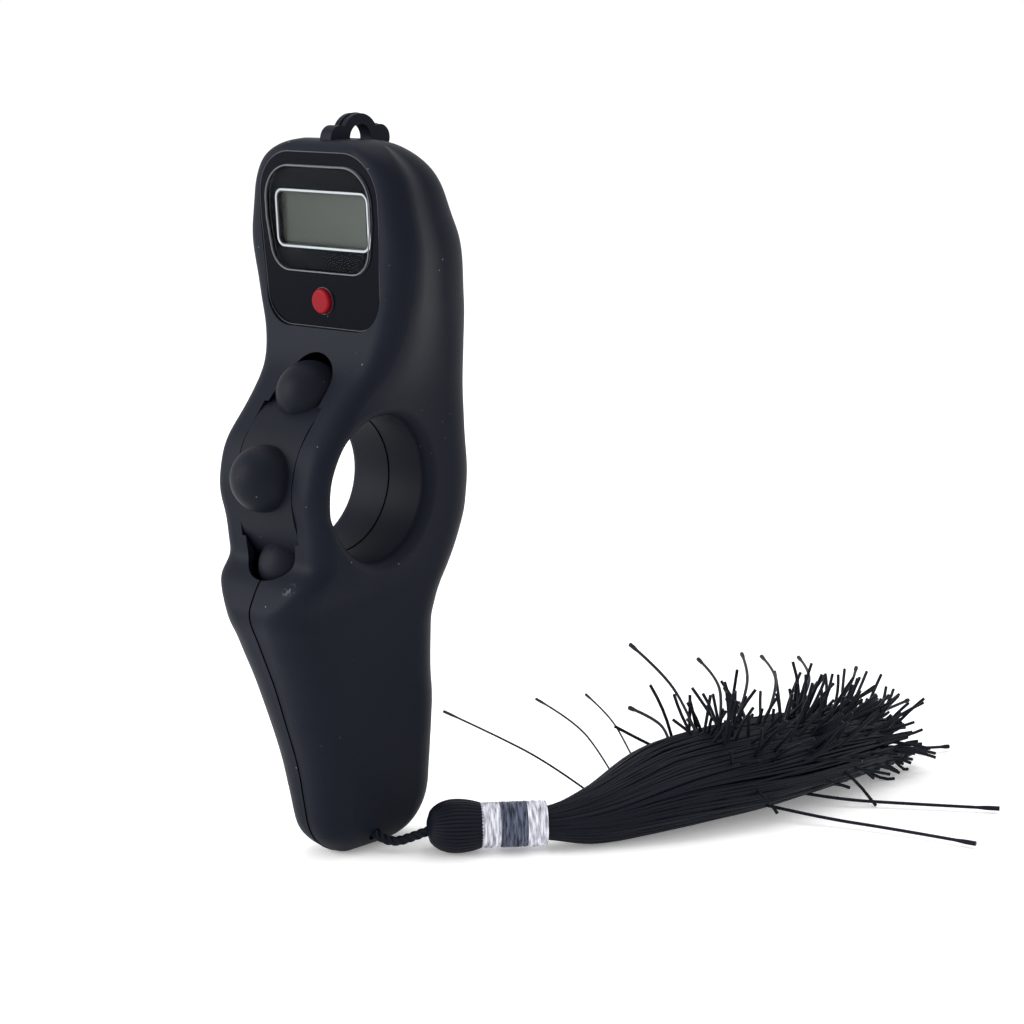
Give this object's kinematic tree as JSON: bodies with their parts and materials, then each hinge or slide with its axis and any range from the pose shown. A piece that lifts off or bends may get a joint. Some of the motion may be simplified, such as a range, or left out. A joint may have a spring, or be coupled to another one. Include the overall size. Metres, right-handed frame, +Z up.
{
  "type": "digital tasbih counter",
  "caption": "Hand-held digital prayer bead counter with a finger hole, a turning bead wheel, a small display, a reset button and a tassel.",
  "frame": {"origin": "centre of the finger bore", "axes": "+Z up, -Y the front with the beads and the display, X along the finger bore"},
  "size_m": [0.085, 0.1244, 0.1075],
  "materials": {
    "housing": "soft-touch matte",
    "wheel": "soft-touch matte",
    "panel": "gloss",
    "window": "clear",
    "display": "satin",
    "elastomer": "matte",
    "board": "satin",
    "resin": "gloss",
    "red_cap": "satin",
    "switch": "satin",
    "contact": "bright",
    "cell": "bright",
    "screw": "bright",
    "cord": "silky thread",
    "white_thread": "silky thread",
    "blue_thread": "silky thread"
  },
  "bodies": {
    "housing": {"right_shell": "housing", "left_shell": "housing", "face_panel": "panel", "display_window": "window", "lcd_cell": "display", "lcd_connector": "elastomer", "circuit_board": "board", "chip_cap": "resin", "reset_switch": "switch", "count_leaf": "contact", "count_contact": "contact", "button_cell": "cell", "cell_contact_plus": "contact", "cell_contact_minus": "contact", "battery_cover": "housing", "battery_cover_screw": "screw", "case_screws": "screw", "cord_knot": "cord", "tassel_cord": "cord", "tassel_head": "cord", "binding_upper": "white_thread", "binding_middle": "blue_thread", "binding_lower": "white_thread", "tassel_skirt": "cord", "tassel_strays": "cord"},
    "wheel": {"bead_wheel": "wheel"},
    "reset": {"reset_button": "red_cap", "reset_plunger": "switch"}
  },
  "joints": [
    {"name": "wheel_turn", "type": "hinge", "parent": "housing", "child": "wheel", "pos_m": [0, 0, 0], "axis": [1, 0, 0], "continuous": true, "deforming": ["count_leaf"]},
    {"name": "reset_press", "type": "slide", "parent": "housing", "child": "reset", "axis": [0, 0.9981, 0.061], "range_m": [0, 0.0005], "stiffness_N_per_m": 800}
  ]
}
